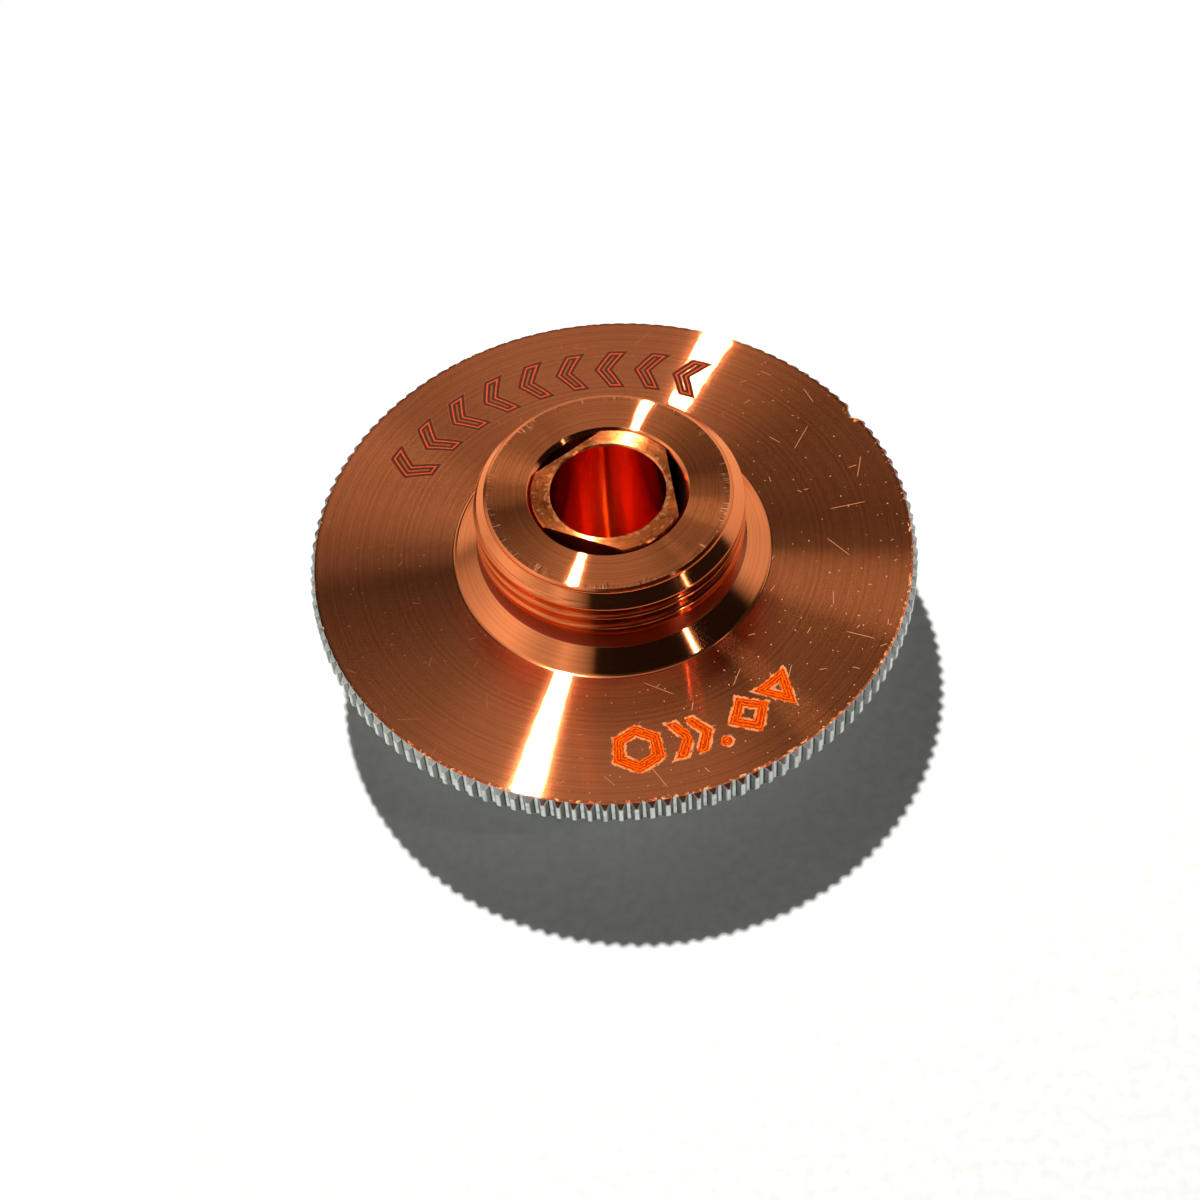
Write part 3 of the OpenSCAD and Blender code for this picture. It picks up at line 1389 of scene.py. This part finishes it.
    def _nick(self, mesh: RingMesh) -> None:
        """Dents the rim's upper edge where something has struck it.

        Args:
            mesh: The mesh, whose last rings are the rim's upper ones.
        """
        turn = math.radians(self.nick_angle)
        spot = np.array([math.cos(turn), math.sin(turn)]) * self.knurl.outer_radius
        for points in mesh.points[-self.nick_rings:]:
            gap = np.linalg.norm(points[:, :2] - spot, axis=1) / self.nick_reach
            dent = np.exp(-gap ** 4)
            points[:, :2] *= (1 - self.nick_depth / self.knurl.outer_radius * dent)[:, None]
            points[:, 2] -= self.nick_drop * dent

    def _seat(self) -> Section:
        """Draws the outline from the flange face over the seat cone and the relief groove.

        Returns:
            The section.
        """
        top = self.face_z + self.seat_height
        start = top + self.relief_height
        return Section([
            Corner(self.face_ring, self.face_z, 0, self.FACE),
            Corner(self.seat_radius, self.face_z, self.seat_blend, self.CONE),
            Corner(self.seat_top_radius, top, self.seat_edge, self.RELIEF),
            Corner(self.relief_radius, top, self.relief_edge, self.RELIEF),
            Corner(self.relief_radius, start, self.relief_edge, self.RELIEF),
            Corner(self.thread.radius - self.foot_depth, start, 0, self.RELIEF),
        ])

    def _stub(self, mesh: RingMesh, start: Ring, angle: np.ndarray) -> Ring:
        """Adds the thread and the end chamfer, which the thread's groove runs out into.

        Args:
            mesh: The mesh that takes them.
            start: The last ring of the relief groove.
            angle: The angles of each ring's points.

        Returns:
            The ring at the top of the end chamfer.
        """
        low = self.face_z + self.seat_height + self.relief_height
        top = CAD_BOX[1].z / MM
        chamfer_height = self.thread.radius - self.end_radius
        high = top - self.fine_edge
        count = int((high - low) / self.thread.spacing)
        heights = np.linspace(low, high, count)
        limit = np.minimum(self.thread.radius, self.end_radius + (top - heights))
        lead = self.thread.radius - self.lead_depth + (heights - low) * self.lead_slope
        limit = np.minimum(limit, lead)
        grid_z, grid_a = np.meshgrid(heights - self.face_z, angle, indexing="ij")
        depth = self.thread.depth_at(grid_z, grid_a)
        soft = np.minimum(limit[:, None], self.thread.radius - depth)
        radius = np.maximum(soft, self.relief_radius + self.root_margin)
        rings = [mesh.ring(radius[i], heights[i], angle) for i in range(count)]
        rise = np.gradient(radius, heights, axis=0)
        swing = np.gradient(radius, angle, axis=1) / radius
        length = np.sqrt(1 + rise ** 2 + swing ** 2)
        mesh.band(start, rings[0], self.RELIEF)
        for i in range(count - 1):
            on_thread = heights[i] < top - chamfer_height
            finish = self.THREAD if on_thread else self.CONE
            leans = tuple((1 / length[k], -rise[k] / length[k]) for k in (i, i + 1))
            mesh.band(rings[i], rings[i + 1], finish, leans)
        return rings[-1]

    def _inside(self) -> Section:
        """Draws the outline from the end chamfer over the end face and down through the body.

        Returns:
            The section.
        """
        top = CAD_BOX[1].z / MM
        edge = self.fine_edge
        cone = (self.chamber_radius - self.orifice_radius) + self.orifice_length
        return Section([
            Corner(self.end_radius + edge, top - edge, 0, self.CONE),
            Corner(self.end_radius - self.least_edge, top, edge, self.END),
            Corner(self.hole_radius + self.hole_chamfer, top, self.least_edge, self.CONE),
            Corner(self.hole_radius, top - self.hole_chamfer, edge, self.INSIDE),
            Corner(self.hole_radius, self.ledge_z, 0, self.INSIDE),
            Corner(self.chamber_radius, self.ledge_z, edge, self.INSIDE),
            Corner(self.chamber_radius, cone, self.chamber_edge, self.INSIDE),
            Corner(self.orifice_radius, self.orifice_length, self.seat_edge, self.INSIDE),
            Corner(self.orifice_radius, edge, 0, self.INSIDE),
        ])


@dataclass
class CoreSleeve:
    """The pressed core with its three flats and the beam's bore."""

    radius: float = 3.97
    flat_distance: float = 3.3
    flats: int = 3
    flat_angle: float = 4.0
    chamfer: float = 0.06
    bore_radius: float = 2.99
    bore_chamfer: float = 0.08
    ledge_z: float = 4.6
    neck_radius: float = 3.25
    end_z: float = 2.2
    end_radius: float = 1.5
    throat_radius: float = 0.9
    throat_z: float = 3.0
    neck_edge: float = 0.05
    fine_edge: float = 0.03
    last_step: float = 0.02
    flat_steps: int = 32
    land_steps: int = 96

    OUTSIDE, TOP, BORE = range(3)

    def finishes(self) -> list[Any]:
        """Gives the finishes in the order of the numbers above."""
        return [
            DimWall("core_outside"),
            BurnishedTop("core_top", colour=linear(250, 130, 66), deep=linear(205, 88, 42),
                         tilt=0.17, roughness=0.19, anisotropic=0.85,
                         inner_radius=self.bore_radius + self.bore_chamfer),
            TurnedCopper("core_bore", lay=Lay.ALONG, colour=linear(255, 142, 76),
                         deep=linear(252, 120, 58), tilt=0.2, roughness=0.09, anisotropic=0.9),
        ]

    def _angles(self, outer: float) -> np.ndarray:
        """Gives a ring's angles, with a point on each edge of each flat.

        Args:
            outer: The radius of the round stretches.

        Returns:
            The angles.
        """
        half = math.acos(min(1.0, self.flat_distance / outer))
        share = math.tau / self.flats
        parts = []
        for i in range(self.flats):
            middle = math.radians(self.flat_angle) + i * share
            parts.append(np.linspace(middle - half, middle + half, self.flat_steps, endpoint=False))
            parts.append(
                np.linspace(middle + half, middle + share - half, self.land_steps, endpoint=False)
            )
        return np.concatenate(parts)

    def _outline(self, outer: float, angle: np.ndarray) -> np.ndarray:
        """Gives the radius of the outline where flats cut a circle.

        Args:
            outer: The circle's radius.
            angle: The angles of the points.

        Returns:
            The radius at each angle.
        """
        share = math.tau / self.flats
        turn = (angle - math.radians(self.flat_angle) + share / 2) % share - share / 2
        return np.minimum(outer, self.flat_distance / np.cos(turn))

    def build(self) -> bpy.types.Object:
        """Builds the core as one closed mesh with its finishes.

        Returns:
            The core.
        """
        mesh = RingMesh("inner_core_sleeve")
        top = CAD_BOX[1].z / MM
        wide = self._angles(self.radius)
        narrow = self._angles(self.radius - self.chamfer)
        lower = Section([
            Corner(self.throat_radius, self.end_z, 0, self.OUTSIDE),
            Corner(self.end_radius, self.end_z, self.fine_edge, self.OUTSIDE),
            Corner(self.neck_radius, self.end_z + self.neck_radius - self.end_radius,
                   self.neck_edge, self.OUTSIDE),
            Corner(self.neck_radius, self.ledge_z, 0, self.OUTSIDE),
        ]).sweep(mesh, wide)
        foot = mesh.ring(self._outline(self.radius, wide), self.ledge_z, wide)
        shoulder = mesh.ring(self._outline(self.radius, wide), top - self.chamfer, wide)
        crown = mesh.ring(self._outline(self.radius - self.chamfer, narrow), top, narrow)
        mesh.band(lower, foot, self.OUTSIDE)
        mesh.band(foot, shoulder, self.OUTSIDE)
        mesh.band(shoulder, crown, self.TOP)
        lip = mesh.ring(self.bore_radius + self.bore_chamfer, top, narrow)
        mesh.band(crown, lip, self.TOP, ((0.0, 1.0), (0.0, 1.0)))
        cone = self.throat_z + self.bore_radius - self.throat_radius
        last = Section([
            Corner(self.bore_radius + self.bore_chamfer, top, 0, self.TOP),
            Corner(self.bore_radius, top - self.bore_chamfer, 0, self.BORE),
            Corner(self.bore_radius, cone, self.neck_edge, self.BORE),
            Corner(self.throat_radius, self.throat_z, self.fine_edge, self.BORE),
            Corner(self.throat_radius, self.end_z + self.last_step, 0, self.BORE),
        ]).sweep(mesh, narrow, lip)
        mesh.band(last, mesh.first(wide), self.BORE)
        made = mesh.build(self.finishes())
        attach(made, BODY)
        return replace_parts(made, "inner_core")


@dataclass(frozen=True)
class SoftLight:
    """A round patch of light in the surroundings, with soft edges. Its angles are in degrees."""

    bearing: float
    elevation: float
    half_angle: float
    strength: float

    def direction(self) -> tuple[float, float, float]:
        """Works out the direction to the patch.

        Returns:
            The direction. A bearing goes clockwise from +Y, seen from above.
        """
        bearing, elevation = math.radians(self.bearing), math.radians(self.elevation)
        level = math.cos(elevation)
        return math.sin(bearing) * level, math.cos(bearing) * level, math.sin(elevation)

    def radiance(self, sheet: NodeSheet, toward: Any) -> Value:
        """Works out the patch's light.

        Args:
            sheet: The world's nodes.
            toward: The direction that is looked in.

        Returns:
            The light that comes from there.
        """
        inner = math.cos(math.radians(self.half_angle * 0.75))
        outer = math.cos(math.radians(self.half_angle * 1.25))
        return sheet.dot(toward, self.direction()).fade(outer, inner) * self.strength


@dataclass
class Studio:
    """The camera, the lamps, the surroundings and the floor."""

    lens: float = 68.05
    camera_place: tuple[float, float, float] = (-0.89, -72.09, 104.09)
    camera_elevation: float = 54.24
    camera_roll: float = -5.0
    camera_clip: tuple[float, float] = (0.005, 20.0)
    lamp_place: tuple[float, float, float] = (-38.5, 93.6, 307.3)
    lamp_radius: float = 5.6
    lamp_power: float = 5.4
    spark_direction: tuple[float, float, float] = (0.54, -0.40, 0.74)
    spark_strength: float = 0.1
    spark_angle: float = 0.7
    ambient: float = 0.045
    horizon: float = 0.9
    horizon_top: tuple[float, float] = (7.0, 15.0)
    line_top: tuple[float, float] = (5.0, 9.0)
    dark_side: tuple[float, float] = (88.0, 201.0)
    dark_top: tuple[float, float] = (57.0, 66.0)
    dark_fade: tuple[float, float] = (3.0, 2.0)
    dark_share: float = 0.97
    dark_light: float = 0.012
    slit: float = 127.0
    slit_edge: tuple[float, float] = (0.7, 0.4)
    slit_top: tuple[float, float] = (0.8, 0.74)
    slit_light: float = 10.0
    diffuse_share: float = 0.22
    floor_size: float = 4.0
    floor_colour: Colour = (0.86, 0.855, 0.83)
    fibre_colour: Colour = (0.6, 0.61, 0.58)
    paper_reach: tuple[float, float] = (32.0, 70.0)
    window: SoftLight = SoftLight(261, 36, 44, 0.75)
    window_span: tuple[float, float] = (200.0, 330.0)
    window_levels: tuple[Point, ...] = (
        (0.0, 0.2), (0.05, 0.6), (0.12, 0.85), (0.18, 1.25), (0.25, 0.82), (0.31, 0.82),
        (0.38, 1.1), (0.47, 1.45), (0.55, 1.35), (0.65, 1.0), (0.75, 0.75), (0.85, 0.8),
        (1.0, 1.0),
    )
    patches: tuple[SoftLight, ...] = (
        SoftLight(347, 76, 13, 0.48),
        SoftLight(335, 40, 8, 0.7),
        SoftLight(48, 5, 39, 0.75),
        SoftLight(35, 52.5, 4.0, 1.3),
        SoftLight(49, 67, 2.0, 2.0),
        SoftLight(355, 36, 14, 0.52),
    )
    sky_colour: Colour = (1.0, 0.99, 0.97)

    def build(self) -> None:
        """Sets up the whole studio."""
        bpy.context.scene.view_settings.view_transform = "Standard"
        self._camera()
        self._lamps()
        self._world()
        self._floor()

    def _camera(self) -> None:
        """Adds the camera at the place and angle of the photograph's."""
        data = bpy.data.cameras.new("photo_camera")
        data.sensor_width = 36.0
        data.lens = self.lens
        data.clip_start, data.clip_end = self.camera_clip
        camera = add_object("photo_camera", data)
        rise, roll = math.radians(self.camera_elevation), math.radians(self.camera_roll)
        right = Vector((1.0, 0.0, 0.0))
        down = Vector((0.0, -math.sin(rise), -math.cos(rise)))
        back = Vector((0.0, -math.cos(rise), math.sin(rise)))
        across = right * math.cos(roll) - down * math.sin(roll)
        upright = -(right * math.sin(roll) + down * math.cos(roll))
        turn = Matrix((across, upright, back)).transposed()
        camera.matrix_world = Matrix.Translation(Vector(self.camera_place) * MM) @ turn.to_4x4()
        bpy.context.scene.camera = camera

    def _lamps(self) -> None:
        """Adds the near lamp and a small far light that sparkles on the cones."""
        near = bpy.data.lights.new("near_lamp", "POINT")
        near.energy = self.lamp_power
        near.shadow_soft_size = self.lamp_radius * MM
        add_object("near_lamp", near).location = Vector(self.lamp_place) * MM
        far = bpy.data.lights.new("small_light", "SUN")
        far.energy = self.spark_strength
        far.angle = math.radians(self.spark_angle)
        spark = add_object("small_light", far)
        spark.rotation_mode = "QUATERNION"
        spark.rotation_quaternion = Vector(self.spark_direction).to_track_quat("Z", "Y")

    def _world(self) -> None:
        """Fills the surroundings with a window, soft patches, a dark side and a pale horizon."""
        world = bpy.data.worlds.new("soft_room")
        world.use_nodes = True
        world.cycles.sampling_method = "NONE"
        bpy.context.scene.world = world
        sheet = NodeSheet(world.node_tree)
        toward = sheet.node("ShaderNodeTexCoord").outputs["Generated"]
        x, y, height = sheet.separate(toward)
        bearing = sheet.math("FLOORED_MODULO", sheet.math("ARCTAN2", x, y), math.tau)
        bearing = bearing * math.degrees(1)
        light = self._window_light(sheet, toward, bearing) + self.ambient
        for patch in self.patches:
            light = light + patch.radiance(sheet, toward)
        band = self._below(height, self.horizon_top) * self.horizon
        dark = self._dark(bearing, height)
        light = sheet.math("MAXIMUM", light, band) * (1 - dark * self.dark_share)
        light = light + dark * self.dark_light + self._slit_light(bearing, height)
        path = sheet.node("ShaderNodeLightPath").outputs
        seen = Value(sheet, path["Is Camera Ray"]) + path["Is Glossy Ray"]
        seen = seen + path["Is Transmission Ray"]
        line = self._below(height, self.line_top) * self.horizon
        light = sheet.math("MAXIMUM", light, line * seen)
        scattered = Value(sheet, path["Diffuse Depth"]) > 0.5
        light = light * (1 - scattered * (1 - self.diffuse_share))
        background = sheet.node(
            "ShaderNodeBackground", None, {"Color": self.sky_colour, "Strength": light}
        )
        sheet.node("ShaderNodeOutputWorld", None, {"Surface": background.outputs[0]})

    def _window_light(self, sheet: NodeSheet, toward: Any, bearing: Value) -> Value:
        """Works out the window's light, with its panes lighter and darker from side to side.

        Args:
            sheet: The world's nodes.
            toward: The direction that is looked in.
            bearing: That direction's bearing in degrees.

        Returns:
            The light that comes from there.
        """
        start, end = self.window_span
        # A ramp holds levels from 0 to 1, so they go in halved
        stops = tuple((place, level / 2) for place, level in self.window_levels)
        levels = sheet.node(
            "ShaderNodeValToRGB", {"stops": stops}, {0: (bearing - start) / (end - start)}
        )
        pane = Value(sheet, levels.outputs["Color"]) * 2
        return self.window.radiance(sheet, toward) * pane

    def _below(self, height: Value, angles: Point) -> Value:
        """Gives 1 lower than the first angle above the horizon and 0 higher than the second."""
        low, high = (math.sin(math.radians(angle)) for angle in angles)
        return height.fade(high, low)

    def _dark(self, bearing: Value, height: Value) -> Value:
        """Works out where the dark side lies.

        Args:
            bearing: The bearing that is looked in, in degrees.
            height: The sine of the angle above the horizon.

        Returns:
            1 on the dark side and 0 elsewhere.
        """
        start, end = self.dark_side
        first, last = self.dark_fade
        side = bearing.fade(start - first, start + first) * bearing.fade(end + last, end - last)
        return side * self._below(height, self.dark_top)

    def _slit_light(self, bearing: Value, height: Value) -> Value:
        """Works out the light of the narrow upright slit on the dark side.

        Args:
            bearing: The bearing that is looked in, in degrees.
            height: The sine of the angle above the horizon.

        Returns:
            The light that comes from there.
        """
        slit = abs(bearing - self.slit).fade(*self.slit_edge) * height.fade(0.0, 0.2)
        return slit * height.fade(*self.slit_top) * self.slit_light

    def _floor(self) -> None:
        """Adds the pale floor, which far off is as white as where the lamp lights it."""
        half = self.floor_size / 2
        mesh = bpy.data.meshes.new("floor")
        corners = [(-half, -half, 0), (half, -half, 0), (half, half, 0), (-half, half, 0)]
        mesh.from_pydata(corners, [], [(0, 1, 2, 3)])
        material, sheet = new_material("pale_paper")
        place = TurnedPlace(sheet)
        fibre = sheet.noise(place.point, 1.6, 5.0)
        tone = sheet.blend(fibre.fade(0.3, 0.75) * 0.3, self.floor_colour, self.fibre_colour)
        bump = sheet.node(
            "ShaderNodeBump", None, {"Strength": 0.2, "Distance": 0.05 * MM, "Height": fibre}
        )
        paper = sheet.node(
            "ShaderNodeBsdfDiffuse", None, {"Color": tone, "Normal": bump.outputs[0]}
        )
        far = sheet.node("ShaderNodeEmission", None, {"Color": (1.0, 1.0, 1.0), "Strength": 1.0})
        cover = sheet.node(
            "ShaderNodeMixShader",
            None,
            {0: place.radius.fade(*self.paper_reach), 1: paper.outputs[0], 2: far.outputs[0]},
        )
        sheet.surface(cover)
        mesh.materials.append(material)
        floor = add_object("floor", mesh)


def report(piece: bpy.types.Object) -> None:
    """Logs a piece with its number of triangles."""
    triangles = sum(len(face.vertices) - 2 for face in piece.data.polygons)
    LOG.info("%s: %d triangles", piece.name, triangles)


def main() -> None:
    """Builds the studio and the two pieces in order, and reports each piece."""
    logging.basicConfig(level=logging.INFO, format="%(name)s: %(message)s")
    Studio().build()
    for piece in (NozzleBody(), CoreSleeve()):
        report(piece.build())


if __name__ == "__main__":
    main()
